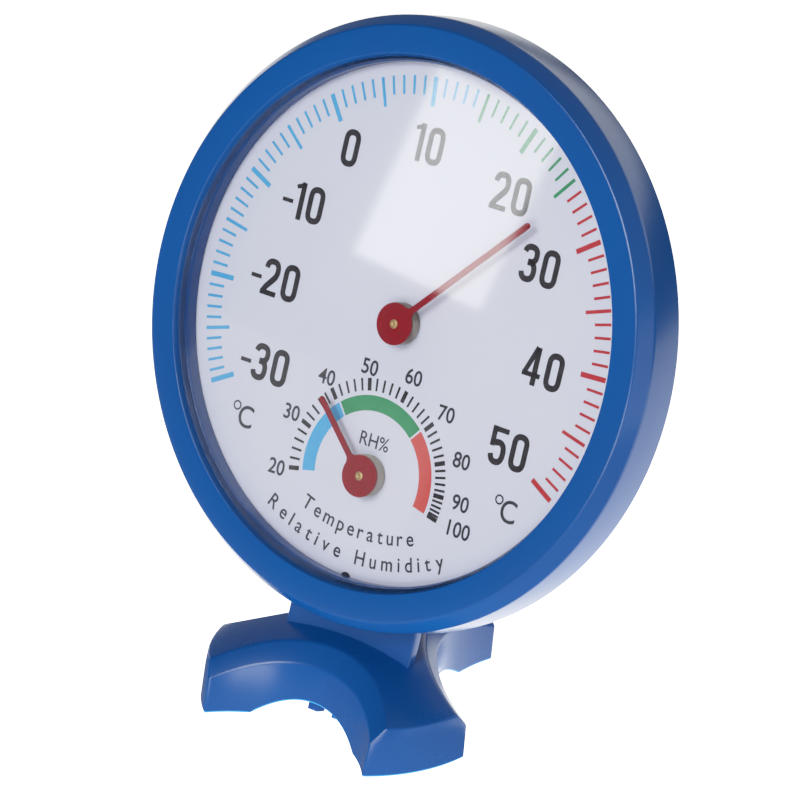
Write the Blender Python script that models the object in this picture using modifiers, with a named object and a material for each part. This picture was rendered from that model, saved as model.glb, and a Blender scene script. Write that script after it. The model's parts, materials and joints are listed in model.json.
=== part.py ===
"""Dial thermometer and hygrometer: a round case on a three-legged stand, leaning back."""

import math

import bmesh
import bpy
from mathutils import Vector

# Driving dimensions, in metres. Heights above the dial are positive towards the viewer.
CASE_R = 0.064
CASE_LEAN = math.radians(20.7)
DIAL_CENTRE_HEIGHT = 0.0818
FACE_HEIGHT = 0.0062
RIM_DEPTH = 0.0056
GAP = 0.0003
PLASTIC = 0.0018

# Front ring of the case
FACE_INNER_R = 0.0556
FACE_OUTER_R = 0.0614
SHOULDER_R = 0.0637
SHOULDER_HEIGHT = 0.00295
OPENING_R = 0.0541
OPENING_HEIGHT = 0.0030
COLLAR_R = 0.0575
BOSS_ORBIT = 0.0600
BOSS_R = 0.0021
SCREW_ANGLES = [math.radians(a) for a in (45, 135, 225, 315)]

# Lens, spacer ring and dial
LENS_FRONT = 0.0049
LENS_T = 0.0010
DIAL_T = 0.0008
HYGRO_DROP = 0.0326
NOTCH_R = 0.0014

# Rear cover
COVER_FRONT = -0.0034
COVER_T = 0.0016
COVER_R = 0.0616
ACCESS_R = 0.0035

# Pointers, as clockwise angles from the top of the dial
POINTER_HEIGHT = 0.0029
POINTER_T = 0.0004
HUB_R = 0.00425
NEEDLE_W = 0.00125
THERMO_REACH = 0.0391
HYGRO_REACH = 0.0193
THERMO_ANGLE = math.radians(43.8)
HYGRO_ANGLE = math.radians(-46.9)

# Stand: walls lean back with the case, so the whole moulding draws in one direction
STAND_FORWARD = 0.0149
WALL_LEAN = 0.24
FOOT_R = 0.0332
FOOT_BULGE = 0.0004
BITE_CENTRE = 0.0441
BITE_R = 0.0283
BITE_FLARE = 0.0006
CREST_HEIGHT = 0.0167
TOE_HEIGHT = 0.0099
SHOULDER_IN = 0.0030
SHOULDER_DROP = 0.0030
SHELL = 0.0014
ARCH_HEIGHT = 0.0049
ARCH_END_R = 0.0238
UPRIGHT_HALF = 0.0165
UPRIGHT_FRONT = -0.0060
UPRIGHT_T = 0.0021
UPRIGHT_TOP = -0.0414
UPRIGHT_FOOT = -0.0712
RIB_IN = 0.0019
RIB_OUT = 0.0045
RIB_FRONT = -0.0036
RIB_BACK = -0.0064
RIB_TOP = -0.0702
RIB_FOOT = -0.0848

RING_STEPS = 96
SMALL_STEPS = 32


def clear_scene():
    for item in list(bpy.data.objects):
        bpy.data.objects.remove(item, do_unlink=True)


def make_collection(name):
    group = bpy.data.collections.new(name)
    bpy.context.scene.collection.children.link(group)
    return group


def make_material(name, colour, roughness, metallic=0.0, alpha=1.0):
    material = bpy.data.materials.new(name)
    material.use_nodes = True
    shader = material.node_tree.nodes["Principled BSDF"]
    shader.inputs["Base Color"].default_value = (*colour, 1.0)
    shader.inputs["Roughness"].default_value = roughness
    shader.inputs["Metallic"].default_value = metallic
    shader.inputs["Alpha"].default_value = alpha
    return material


def make_empty(name, location, parent=None, tilt=0.0):
    empty = bpy.data.objects.new(name, None)
    parts.objects.link(empty)
    empty.location = location
    empty.rotation_euler.x = tilt
    empty.parent = parent
    return empty


def add_object(name, data, parent, material=None, group=None):
    piece = bpy.data.objects.new(name, data)
    (group or parts).objects.link(piece)
    piece.parent = parent
    if material:
        data.materials.append(material)
    return piece


def as_cutter(piece):
    piece.hide_render = True
    piece.display_type = "WIRE"
    return piece


def combine(piece, tool, operation):
    boolean = piece.modifiers.new(tool.name, "BOOLEAN")
    boolean.operation = operation
    boolean.solver = "EXACT"
    boolean.object = tool


def turned(name, profile, parent, material=None, group=None, steps=RING_STEPS, closed=True):
    """Turn a profile of (radius, height) about the parent's Z axis; it runs top to bottom outside."""
    mesh = bpy.data.meshes.new(name)
    points = [(radius, 0.0, height) for radius, height in profile]
    edges = [(i, i + 1) for i in range(len(points) - 1)]
    if closed:
        edges.append((len(points) - 1, 0))
    mesh.from_pydata(points, edges, [])
    piece = add_object(name, mesh, parent, material, group)
    screw = piece.modifiers.new("turn", "SCREW")
    screw.axis = "Z"
    screw.steps = steps
    screw.render_steps = steps
    screw.use_merge_vertices = True
    screw.merge_threshold = 0.00001
    screw.use_smooth_shade = True
    return piece


def tube_profile(inner, outer, top, bottom):
    return [(inner, top), (outer, top), (outer, bottom), (inner, bottom)]


def box(name, low, high, parent, material=None, group=None):
    mesh = bpy.data.meshes.new(name)
    bm = bmesh.new()
    bmesh.ops.create_cube(bm, size=1.0)
    low, high = Vector(low), Vector(high)
    for vertex in bm.verts:
        vertex.co = Vector(low[i] + (vertex.co[i] + 0.5) * (high[i] - low[i]) for i in range(3))
    bm.to_mesh(mesh)
    bm.free()
    return add_object(name, mesh, parent, material, group)


def drum(name, radius, top, bottom, parent, place=(0.0, 0.0), steps=SMALL_STEPS):
    """A plain round cutter standing on the dial's normal."""
    piece = turned(name, [(0.0, top), (radius, top), (radius, bottom), (0.0, bottom)],
                   parent, group=cutters, steps=steps, closed=False)
    piece.location = (place[0], place[1], 0.0)
    return as_cutter(piece)


def cut_box(name, low, high, parent):
    return as_cutter(box(name, low, high, parent, group=cutters))


def on_circle(radius, angle):
    return (radius * math.cos(angle), radius * math.sin(angle))


def make_bezel():
    """One moulding: flat face, chamfers, skirt, and an inner collar that takes the lens."""
    cone = (FACE_INNER_R - OPENING_R) / (FACE_HEIGHT - OPENING_HEIGHT)
    ledge_height = LENS_FRONT + GAP
    ledge_r = OPENING_R + cone * (ledge_height - OPENING_HEIGHT)
    collar_outer = COLLAR_R + 0.0016
    profile = [
        (FACE_INNER_R, FACE_HEIGHT), (FACE_OUTER_R, FACE_HEIGHT),
        (SHOULDER_R, SHOULDER_HEIGHT), (CASE_R, -RIM_DEPTH),
        (CASE_R - PLASTIC, -RIM_DEPTH), (SHOULDER_R - PLASTIC, SHOULDER_HEIGHT - PLASTIC),
        (FACE_OUTER_R - 0.0006, FACE_HEIGHT - PLASTIC), (collar_outer, FACE_HEIGHT - PLASTIC),
        (collar_outer, -0.0010), (COLLAR_R, -0.0010),
        (COLLAR_R, ledge_height), (ledge_r, ledge_height),
    ]
    bezel = turned("front_bezel", profile, case, blue)
    for number, angle in enumerate(SCREW_ANGLES, 1):
        place = on_circle(BOSS_ORBIT, angle)
        boss = drum(f"boss_{number}", BOSS_R, FACE_HEIGHT - 0.0014, COVER_FRONT + GAP, case, place, 20)
        combine(bezel, boss, "UNION")
    for number, angle in enumerate(SCREW_ANGLES, 1):
        place = on_circle(BOSS_ORBIT, angle)
        bore = drum(f"boss_bore_{number}", 0.0009 + GAP / 2, 0.0030, -0.0045, case, place, 16)
        combine(bezel, bore, "DIFFERENCE")


def make_lens():
    back = LENS_FRONT - LENS_T
    radius = COLLAR_R - GAP
    turned("lens", [(0.0, LENS_FRONT), (radius, LENS_FRONT), (radius, back), (0.0, back)],
           case, clear, closed=False)


def make_spacer():
    top = LENS_FRONT - LENS_T - GAP
    outer = COLLAR_R - GAP
    turned("spacer_ring", [(OPENING_R + 0.0003, top), (outer, top), (outer, GAP),
                           (OPENING_R, GAP), (OPENING_R, OPENING_HEIGHT)], case, blue)


def make_dial():
    radius = COLLAR_R - GAP
    dial = turned("dial_plate", [(0.0, 0.0), (radius, 0.0), (radius, -DIAL_T), (0.0, -DIAL_T)],
                  case, white, closed=False)
    for name, y in (("thermo", 0.0), ("hygro", -HYGRO_DROP)):
        combine(dial, drum(f"{name}_dial_hole", 0.0018, 0.001, -0.002, case, (0.0, y)), "DIFFERENCE")
    notch = drum("dial_notch", NOTCH_R, 0.001, -0.002, case, (0.0, -0.0548))
    combine(dial, notch, "DIFFERENCE")


def make_cover():
    """Rear cover: disc with a rib behind the dial, vents, hanging slot, access holes and a socket."""
    back = COVER_FRONT - COVER_T
    rib_top = -DIAL_T - GAP
    profile = [(0.0, COVER_FRONT), (0.0540, COVER_FRONT), (0.0540, rib_top), (0.0555, rib_top),
               (0.0555, COVER_FRONT), (COVER_R, COVER_FRONT), (COVER_R, back), (0.0, back)]
    cover = turned("rear_cover", profile, case, blue, closed=False)

    inner = UPRIGHT_HALF + GAP
    outer = inner + 0.0024
    floor_back = UPRIGHT_FRONT - UPRIGHT_T - GAP
    lip_back = floor_back - 0.0015
    stop = UPRIGHT_TOP + GAP
    root = back + 0.0004
    for side in (-1, 1):
        ends = sorted((side * inner, side * outer))
        lips = sorted((side * (inner - 0.0022), side * outer))
        rail = cut_box(f"rail_{side}", (ends[0], -0.0590, floor_back - 0.0002),
                       (ends[1], stop + 0.0020, root), case)
        lip = cut_box(f"lip_{side}", (lips[0], -0.0590, lip_back), (lips[1], stop + 0.0020, floor_back), case)
        combine(cover, rail, "UNION")
        combine(cover, lip, "UNION")
    bar = cut_box("socket_stop", (-outer + 0.0003, stop, lip_back + 0.0002),
                  (outer - 0.0003, stop + 0.0018, root + 0.0001), case)
    combine(cover, bar, "UNION")

    deep = (COVER_FRONT + 0.001, back - 0.001)
    for name, y in (("thermo", 0.0), ("hygro", -HYGRO_DROP)):
        combine(cover, drum(f"{name}_access", ACCESS_R, *deep, case, (0.0, y)), "DIFFERENCE")
    combine(cover, drum("hanger_hole", 0.0042, *deep, case, (0.0, 0.0400)), "DIFFERENCE")
    combine(cover, drum("hanger_end", 0.0021, *deep, case, (0.0, 0.0470), 20), "DIFFERENCE")
    slot = cut_box("hanger_slot", (-0.0021, 0.0400, deep[1]), (0.0021, 0.0470, deep[0]), case)
    combine(cover, slot, "DIFFERENCE")
    for side in (-1, 1):
        for row in range(6):
            y = (row - 2.5) * 0.0042
            ends = sorted((side * 0.0200, side * 0.0400))
            vent = cut_box(f"vent_{side}_{row}", (ends[0], y - 0.0010, deep[1]),
                           (ends[1], y + 0.0010, deep[0]), case)
            combine(cover, vent, "DIFFERENCE")
    for number, angle in enumerate(SCREW_ANGLES, 1):
        place = on_circle(BOSS_ORBIT, angle)
        hole = drum(f"cover_hole_{number}", 0.0009 + GAP, *deep, case, place, 16)
        combine(cover, hole, "DIFFERENCE")


def make_screws():
    seat = COVER_FRONT - COVER_T - GAP
    shank = 0.0009
    head = 0.0016
    for number, angle in enumerate(SCREW_ANGLES, 1):
        profile = [(0.0, 0.0024), (shank, 0.0020), (shank, seat), (head, seat),
                   (head, seat - 0.0004), (head * 0.6, seat - 0.0009), (0.0, seat - 0.0009)]
        name = f"case_screw_{number}"
        screw = turned(name, profile, case, steel, steps=20, closed=False)
        place = on_circle(BOSS_ORBIT, angle)
        screw.location = (*place, 0.0)
        for turn in (0, 1):
            half = (0.0010, 0.0002) if turn == 0 else (0.0002, 0.0010)
            low = (place[0] - half[0], place[1] - half[1], seat - 0.0012)
            high = (place[0] + half[0], place[1] + half[1], seat - 0.0004)
            combine(screw, cut_box(f"{name}_drive_{turn}", low, high, case), "DIFFERENCE")


def pointer_outline(reach, angle):
    """Round hub running into a straight needle through small fillets, ending in a round tip."""
    half = NEEDLE_W / 2
    fillet = 0.0012
    blend = math.asin((half + fillet) / (HUB_R + fillet))
    points = []
    for i in range(29):
        a = blend + (2 * math.pi - 2 * blend) * i / 28
        points.append((HUB_R * math.sin(a), HUB_R * math.cos(a)))
    start = (HUB_R + fillet) * math.cos(blend)
    left = []
    for i in range(1, 5):
        a = blend + (math.pi / 2 - blend) * i / 4
        left.append((-(half + fillet) + fillet * math.sin(a), start - fillet * math.cos(a)))
    points += left
    for i in range(7):
        a = math.pi * i / 6
        points.append((-half * math.cos(a), reach - half + half * math.sin(a)))
    points += [(-x, y) for x, y in reversed(left)]
    cosine, sine = math.cos(angle), math.sin(angle)
    return [(x * cosine + y * sine, -x * sine + y * cosine) for x, y in points]


def make_pointer(name, axis, reach, angle):
    curve = bpy.data.curves.new(name, "CURVE")
    curve.dimensions = "2D"
    curve.fill_mode = "BOTH"
    curve.extrude = POINTER_T / 2
    hole = [on_circle(0.0011, 2 * math.pi * i / 16) for i in range(16)]
    for outline in (pointer_outline(reach, angle), hole):
        spline = curve.splines.new("POLY")
        spline.points.add(len(outline) - 1)
        for point, (x, y) in zip(spline.points, outline):
            point.co = (x, y, 0.0, 1.0)
        spline.use_cyclic_u = True
    pointer = add_object(name, curve, axis, red)
    pointer.location.z = POINTER_HEIGHT + POINTER_T / 2


def make_coil(name, axis, material):
    """Flat strip wound outwards round the pin between the dial and the pointer."""
    inner, outer, turns, bottom, top = 0.0026, 0.0043, 3.5, 0.0003, 0.0026
    curve = bpy.data.curves.new(name, "CURVE")
    curve.dimensions = "2D"
    curve.fill_mode = "NONE"
    curve.extrude = (top - bottom) / 2
    count = int(turns * 18)
    spline = curve.splines.new("POLY")
    spline.points.add(count)
    for i, point in enumerate(spline.points):
        share = i / count
        x, y = on_circle(inner + (outer - inner) * share, 2 * math.pi * turns * share)
        point.co = (x, y, 0.0, 1.0)
    coil = add_object(name, curve, axis, material)
    coil.location.z = (top + bottom) / 2
    strip = coil.modifiers.new("strip", "SOLIDIFY")
    strip.thickness = 0.00018
    strip.offset = 0.0


def make_movement(name, axis, coil_material):
    bush_r = 0.0018 - GAP / 2
    turned(f"{name}_bush", [(0.00115, 0.0008), (0.0022, 0.0008), (0.0022, GAP), (bush_r, GAP),
                            (bush_r, -0.0014), (0.00115, -0.0014)], axis, brass, steps=SMALL_STEPS)
    turned(f"{name}_washer", [(0.00115, -0.0018), (0.0026, -0.0018), (0.0026, -0.0020),
                              (0.00115, -0.0020)], axis, steel, steps=SMALL_STEPS)
    head = -0.0023
    pin = turned(f"{name}_pin", [(0.0, 0.0035), (0.0006, 0.0035), (0.0008, 0.0033), (0.0008, head),
                                 (0.0026, head), (0.0026, head - 0.0008), (0.0, head - 0.0008)],
                 axis, brass, steps=SMALL_STEPS, closed=False)
    slot = cut_box(f"{name}_driver_slot", (-0.0030, -0.0003, head - 0.0012),
                   (0.0030, 0.0003, head - 0.0004), axis)
    combine(pin, slot, "DIFFERENCE")
    make_coil(f"{name}_coil", axis, coil_material)


def corner_spread(reach, end_inset=0.0):
    """Angle at the stand's centre between the middle of a bite and its corner on the foot end."""
    radius = FOOT_R - end_inset
    return math.acos((radius ** 2 + BITE_CENTRE ** 2 - reach ** 2) / (2 * radius * BITE_CENTRE))


def plan_outline(end_inset, reach, end_steps=8, bite_steps=24):
    """Plan of the stand: three slightly bulging foot ends joined by three round bites."""
    spread = corner_spread(reach, end_inset)
    half_end = math.pi / 3 - spread
    swing = math.asin((FOOT_R - end_inset) * math.sin(spread) / reach)
    points = []
    for leg in range(3):
        middle = math.pi / 2 + leg * 2 * math.pi / 3
        bite = middle + math.pi / 3
        centre = Vector(on_circle(BITE_CENTRE, bite))
        for i in range(end_steps):
            share = 2 * i / end_steps - 1
            radius = FOOT_R - end_inset + FOOT_BULGE * (1 - share * share)
            points.append(Vector(on_circle(radius, middle + half_end * share)))
        for i in range(bite_steps):
            angle = bite + math.pi + swing * (1 - 2 * i / bite_steps)
            points.append(centre + Vector(on_circle(reach, angle)))
    return points


def crest(point):
    """Height of the domed top over a plan point."""
    share = point.length / (FOOT_R + FOOT_BULGE)
    return TOE_HEIGHT + (CREST_HEIGHT - TOE_HEIGHT) * (1 - share ** 2)


def arch(point):
    """Height of the lower edge: pads at the feet and an arch in the middle of each bite."""
    middle = BITE_CENTRE - BITE_R
    share = (point.length ** 2 - middle ** 2) / (ARCH_END_R ** 2 - middle ** 2)
    return ARCH_HEIGHT * (1 - min(1.0, max(0.0, share)))


def leaned(point, height):
    return Vector((point.x, point.y + WALL_LEAN * height, height))


def dome_rings(end_inset, side_inset, drop):
    """Rings that close the top from the shoulder towards the middle."""
    rings = []
    for share in (0.0, 0.25, 0.5, 0.75, 1.0):
        outline = plan_outline(end_inset + 0.011 * share, BITE_R + side_inset + 0.0045 * share)
        rings.append([leaned(p, crest(p) - drop) for p in outline])
    for share in (0.72, 0.44, 0.2):
        rings.append([leaned(p * share, crest(p * share) - drop) for p in outline])
    return rings, leaned(Vector((0.0, 0.0)), CREST_HEIGHT - drop)


def fill_between(bm, low, high, flip):
    for i in range(len(low)):
        j = (i + 1) % len(low)
        face = (low[i], low[j], high[j], high[i])
        bm.faces.new(face[::-1] if flip else face)


def stand_skin(bm, inset, flip):
    """One skin of the shell, from the lower edge up the walls, over the shoulder and the dome."""
    low = plan_outline(inset, BITE_R + inset)
    high = plan_outline(inset, BITE_R + BITE_FLARE + inset)
    rings = [[leaned(p, arch(p)) for p in low],
             [leaned(p, crest(p) - SHOULDER_DROP - inset / 2) for p in high]]
    dome, top = dome_rings(inset + 0.0002, BITE_FLARE + SHOULDER_IN + inset / 2, inset)
    rings = [[bm.verts.new(p) for p in ring] for ring in rings + dome]
    for lower, upper in zip(rings, rings[1:]):
        fill_between(bm, lower, upper, flip)
    apex = bm.verts.new(top)
    last = rings[-1]
    for i in range(len(last)):
        face = (last[i], last[(i + 1) % len(last)], apex)
        bm.faces.new(face[::-1] if flip else face)
    return rings[0]


def make_stand():
    """One moulding: open-bottomed three-legged shell with a flat tongue rising behind the case."""
    bm = bmesh.new()
    outer = stand_skin(bm, 0.0, False)
    inner = stand_skin(bm, SHELL, True)
    fill_between(bm, outer, inner, True)
    mesh = bpy.data.meshes.new("stand_moulding")
    bm.to_mesh(mesh)
    bm.free()
    moulding = add_object("stand_moulding", mesh, stand, blue)
    tongue = cut_box("tongue", (-UPRIGHT_HALF, UPRIGHT_FOOT, UPRIGHT_FRONT - UPRIGHT_T),
                     (UPRIGHT_HALF, UPRIGHT_TOP, UPRIGHT_FRONT), case_home)
    combine(moulding, tongue, "UNION")
    for side in (-1, 1):
        ends = sorted((side * RIB_IN, side * RIB_OUT))
        rib = cut_box(f"tongue_rib_{side}", (ends[0], RIB_FOOT, RIB_BACK), (ends[1], RIB_TOP, RIB_FRONT),
                      case_home)
        combine(moulding, rib, "UNION")


clear_scene()
parts = make_collection("dial_hygrometer")
cutters = make_collection("cutters")

blue = make_material("blue_plastic", (0.012, 0.090, 0.350), 0.35)
white = make_material("dial_white", (0.68, 0.70, 0.80), 0.5)
clear = make_material("clear_plastic", (0.9, 0.93, 0.95), 0.05, alpha=0.25)
red = make_material("pointer_red", (0.36, 0.010, 0.022), 0.4)
brass = make_material("brass", (0.55, 0.36, 0.14), 0.35, metallic=1.0)
steel = make_material("steel", (0.55, 0.55, 0.56), 0.35, metallic=1.0)
bimetal = make_material("bimetal_strip", (0.42, 0.38, 0.32), 0.4, metallic=1.0)
hygro_strip = make_material("humidity_strip", (0.52, 0.48, 0.40), 0.5)

# The dial's normal points forward and up; the origin is midway between front feet and top rim.
front_reach = STAND_FORWARD + FOOT_R * math.sin(math.pi / 2 - corner_spread(BITE_R))
rear_reach = CASE_R * math.sin(CASE_LEAN) + RIM_DEPTH * math.cos(CASE_LEAN)
dial_y = (front_reach - rear_reach) / 2

tilt = math.pi / 2 - CASE_LEAN
case_home = make_empty("case_home", (0.0, dial_y, DIAL_CENTRE_HEIGHT), tilt=tilt)
case = make_empty("case", (0.0, 0.0, 0.0), case_home)
thermo_axis = make_empty("thermo_axis", (0.0, 0.0, 0.0), case)
hygro_axis = make_empty("hygro_axis", (0.0, -HYGRO_DROP, 0.0), case)
stand = make_empty("stand", (0.0, dial_y - STAND_FORWARD, 0.0))

make_bezel()
make_lens()
make_spacer()
make_dial()
make_cover()
make_screws()
make_movement("thermo", thermo_axis, bimetal)
make_movement("hygro", hygro_axis, hygro_strip)
make_pointer("thermo_pointer", thermo_axis, THERMO_REACH, THERMO_ANGLE)
make_pointer("hygro_pointer", hygro_axis, HYGRO_REACH, HYGRO_ANGLE)
make_stand()
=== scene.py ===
import json
import math

import bmesh
import bpy
from mathutils import Matrix, Vector


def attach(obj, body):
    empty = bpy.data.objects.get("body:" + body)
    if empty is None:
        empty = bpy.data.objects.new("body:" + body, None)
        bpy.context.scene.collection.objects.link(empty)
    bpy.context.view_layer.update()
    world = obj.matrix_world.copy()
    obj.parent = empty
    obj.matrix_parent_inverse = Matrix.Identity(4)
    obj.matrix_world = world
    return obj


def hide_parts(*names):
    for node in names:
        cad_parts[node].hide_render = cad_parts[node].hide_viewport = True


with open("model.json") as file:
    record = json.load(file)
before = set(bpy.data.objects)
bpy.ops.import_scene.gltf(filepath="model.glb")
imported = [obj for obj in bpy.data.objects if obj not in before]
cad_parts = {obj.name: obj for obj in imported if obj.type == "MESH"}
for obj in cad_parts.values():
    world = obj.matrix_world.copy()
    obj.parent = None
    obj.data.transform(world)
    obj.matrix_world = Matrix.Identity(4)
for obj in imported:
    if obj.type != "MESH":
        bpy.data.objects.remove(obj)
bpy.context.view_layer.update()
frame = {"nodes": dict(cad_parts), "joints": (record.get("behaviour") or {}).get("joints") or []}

scene = bpy.context.scene
nodes = frame["nodes"]
joints = {joint["name"]: joint for joint in frame["joints"]}
mm = 0.001

# The case has its own frame: x right, y up along the dial, z out of the dial towards the reader.
dialCentre = Vector(joints["temperature"]["pos_m"])
hygroCentre = Vector(joints["humidity"]["pos_m"])
dialOut = -Vector(joints["temperature"]["axis"]).normalized()
dialUp = Vector(joints["case_lift"]["axis"]).normalized()
dialRight = dialUp.cross(dialOut).normalized()
caseFrame = Matrix((dialRight, dialUp, dialOut)).transposed().to_4x4()
caseFrame.translation = dialCentre
hygroDrop = (hygroCentre - dialCentre).length
print("frame ready", [round(c, 4) for c in dialCentre])


# Small helpers

def newMaterial(name):
    material = bpy.data.materials.new(name)
    material.use_nodes = True
    material.node_tree.nodes.clear()
    return material, material.node_tree


def addNode(tree, kind, **settings):
    node = tree.nodes.new(kind)
    for key, value in settings.items():
        if key in node.inputs:
            node.inputs[key].default_value = value
        else:
            setattr(node, key, value)
    return node


def noiseAt(tree, scale, detail=3.0, stretch=(1, 1, 1)):
    coords = tree.nodes.new("ShaderNodeTexCoord")
    mapping = tree.nodes.new("ShaderNodeMapping")
    mapping.inputs["Scale"].default_value = stretch
    noise = tree.nodes.new("ShaderNodeTexNoise")
    noise.inputs["Scale"].default_value = scale
    noise.inputs["Detail"].default_value = detail
    tree.links.new(coords.outputs["Object"], mapping.inputs["Vector"])
    tree.links.new(mapping.outputs["Vector"], noise.inputs["Vector"])
    return noise.outputs["Fac"]


def mapped(tree, value, low, high, fromLow=0.3, fromHigh=0.7):
    span = tree.nodes.new("ShaderNodeMapRange")
    span.inputs["From Min"].default_value = fromLow
    span.inputs["From Max"].default_value = fromHigh
    span.inputs["To Min"].default_value = low
    span.inputs["To Max"].default_value = high
    tree.links.new(value, span.inputs["Value"])
    return span.outputs["Result"]


def mixedColour(tree, factor, first, second):
    mix = tree.nodes.new("ShaderNodeMix")
    mix.data_type = "RGBA"
    mix.inputs["A"].default_value = (*first, 1)
    mix.inputs["B"].default_value = (*second, 1)
    tree.links.new(factor, mix.inputs["Factor"])
    return mix.outputs["Result"]


def surface(look):
    # One general finish: two close colours, uneven gloss and a fine skin, all driven by noise.
    material, tree = newMaterial(look["name"])
    shader = addNode(tree, "ShaderNodeBsdfPrincipled")
    shader.inputs["Metallic"].default_value = look.get("metal", 0.0)
    shader.inputs["IOR"].default_value = look.get("ior", 1.46)
    shader.inputs["Specular IOR Level"].default_value = look.get("gloss", 0.5)
    cloud = noiseAt(tree, look["cloudScale"], 4.0, look.get("stretch", (1, 1, 1)))
    share = mapped(tree, cloud, 0.0, 1.0)
    base = mixedColour(tree, share, look["colour"], look["second"])
    tree.links.new(base, shader.inputs["Base Color"])
    tree.links.new(mapped(tree, cloud, *look["rough"]), shader.inputs["Roughness"])
    grain = noiseAt(tree, look["grainScale"], 2.0, look.get("stretch", (1, 1, 1)))
    bump = addNode(tree, "ShaderNodeBump")
    bump.inputs["Strength"].default_value = look["grain"]
    bump.inputs["Distance"].default_value = look.get("depth", 0.00002)
    tree.links.new(grain, bump.inputs["Height"])
    tree.links.new(bump.outputs["Normal"], shader.inputs["Normal"])
    output = addNode(tree, "ShaderNodeOutputMaterial")
    tree.links.new(shader.outputs["BSDF"], output.inputs["Surface"])
    return material


def addPiece(name, mesh, body, material=None, place=None, smooth=True):
    piece = bpy.data.objects.new(name, mesh)
    scene.collection.objects.link(piece)
    if material:
        mesh.materials.append(material)
    if smooth:
        mesh.polygons.foreach_set("use_smooth", [True] * len(mesh.polygons))
    if place is not None:
        mesh.transform(place)
    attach(piece, body)
    return piece


def meshFrom(name, verts, faces):
    mesh = bpy.data.meshes.new(name)
    mesh.from_pydata([tuple(v) for v in verts], [], faces)
    mesh.update()
    return mesh


def filleted(points, closed=True, steps=5):
    # points are (radius, height, fillet); each corner with a fillet becomes a short arc
    result = []
    count = len(points)
    for i, (x, y, fillet) in enumerate(points):
        here = Vector((x, y))
        if fillet == 0 or (not closed and i in (0, count - 1)):
            result.append(here)
            continue
        before = Vector(points[i - 1][:2]) - here
        after = Vector(points[(i + 1) % count][:2]) - here
        reach = min(fillet, before.length * 0.49, after.length * 0.49)
        start = here + before.normalized() * reach
        end = here + after.normalized() * reach
        for k in range(steps + 1):
            t = k / steps
            result.append(start * (1 - t) ** 2 + here * 2 * t * (1 - t) + end * t ** 2)
    return result


def lathe(name, profile, steps=256, closed=True):
    verts = []
    for s in range(steps):
        turn = 2 * math.pi * s / steps
        for radius, height in profile:
            verts.append((radius * mm * math.cos(turn), radius * mm * math.sin(turn), height * mm))
    count = len(profile)
    faces = []
    for s in range(steps):
        t = (s + 1) % steps
        for i in range(count if closed else count - 1):
            j = (i + 1) % count
            faces.append((s * count + i, s * count + j, t * count + j, t * count + i))
    mesh = meshFrom(name, verts, faces)
    bm = bmesh.new()
    bm.from_mesh(mesh)
    bmesh.ops.remove_doubles(bm, verts=bm.verts, dist=1e-7)
    bmesh.ops.recalc_face_normals(bm, faces=bm.faces)
    bm.to_mesh(mesh)
    bm.free()
    return mesh


def placed(x, y, z):
    return caseFrame @ Matrix.Translation((x * mm, y * mm, z * mm))


# Finishes

bluePlastic = surface({
    "name": "case blue plastic", "colour": (0.0030, 0.060, 0.232), "second": (0.0024, 0.053, 0.212),
    "cloudScale": 38.0, "rough": (0.20, 0.25), "grainScale": 900.0, "grain": 0.06, "ior": 1.50})
standPlastic = surface({
    "name": "stand blue plastic", "colour": (0.0026, 0.064, 0.250), "second": (0.0020, 0.056, 0.228),
    "cloudScale": 35.0, "rough": (0.24, 0.29), "grainScale": 1200.0, "grain": 0.05, "ior": 1.48})
# painted shade: a darker, greyer copy of the blue plastic for the wall inside the well
wellPaintedShade = surface({
    "name": "shaded blue plastic", "colour": (0.022, 0.042, 0.095), "second": (0.017, 0.034, 0.080),
    "cloudScale": 60.0, "rough": (0.35, 0.45), "grainScale": 800.0, "grain": 0.1})
# painted light: a much lighter blue for the stand's bottom rim, standing in for light from below
paintedLitRim = surface({
    "name": "thin lit edge", "colour": (0.020, 0.290, 0.720), "second": (0.016, 0.250, 0.660),
    "cloudScale": 120.0, "rough": (0.28, 0.38), "grainScale": 900.0, "grain": 0.08})
coverPlastic = surface({
    "name": "cover blue plastic", "colour": (0.0030, 0.056, 0.225), "second": (0.0022, 0.048, 0.200),
    "cloudScale": 40.0, "rough": (0.38, 0.50), "grainScale": 1400.0, "grain": 0.5, "depth": 0.00003})
dialWhite = surface({
    "name": "dial white lacquer", "colour": (0.735, 0.745, 0.865), "second": (0.715, 0.728, 0.850),
    "cloudScale": 45.0, "rough": (0.42, 0.55), "grainScale": 2200.0, "grain": 0.10, "gloss": 0.3})
blackInk = surface({
    "name": "black ink", "colour": (0.022, 0.018, 0.022), "second": (0.034, 0.029, 0.033),
    "cloudScale": 900.0, "rough": (0.35, 0.5), "grainScale": 3000.0, "grain": 0.2})
greyInk = surface({
    "name": "fine black ink", "colour": (0.030, 0.028, 0.036), "second": (0.048, 0.045, 0.055),
    "cloudScale": 1100.0, "rough": (0.4, 0.55), "grainScale": 3000.0, "grain": 0.2})
blueInk = surface({
    "name": "cold blue ink", "colour": (0.070, 0.400, 0.780), "second": (0.095, 0.440, 0.800),
    "cloudScale": 700.0, "rough": (0.4, 0.5), "grainScale": 3000.0, "grain": 0.2})
greenInk = surface({
    "name": "mild green ink", "colour": (0.036, 0.270, 0.110), "second": (0.050, 0.310, 0.130),
    "cloudScale": 700.0, "rough": (0.4, 0.5), "grainScale": 3000.0, "grain": 0.2})
redInk = surface({
    "name": "hot red ink", "colour": (0.500, 0.028, 0.036), "second": (0.560, 0.036, 0.044),
    "cloudScale": 700.0, "rough": (0.4, 0.5), "grainScale": 3000.0, "grain": 0.2})
coralInk = surface({
    "name": "damp red ink", "colour": (0.640, 0.085, 0.075), "second": (0.680, 0.100, 0.086),
    "cloudScale": 700.0, "rough": (0.4, 0.5), "grainScale": 3000.0, "grain": 0.2})
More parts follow.
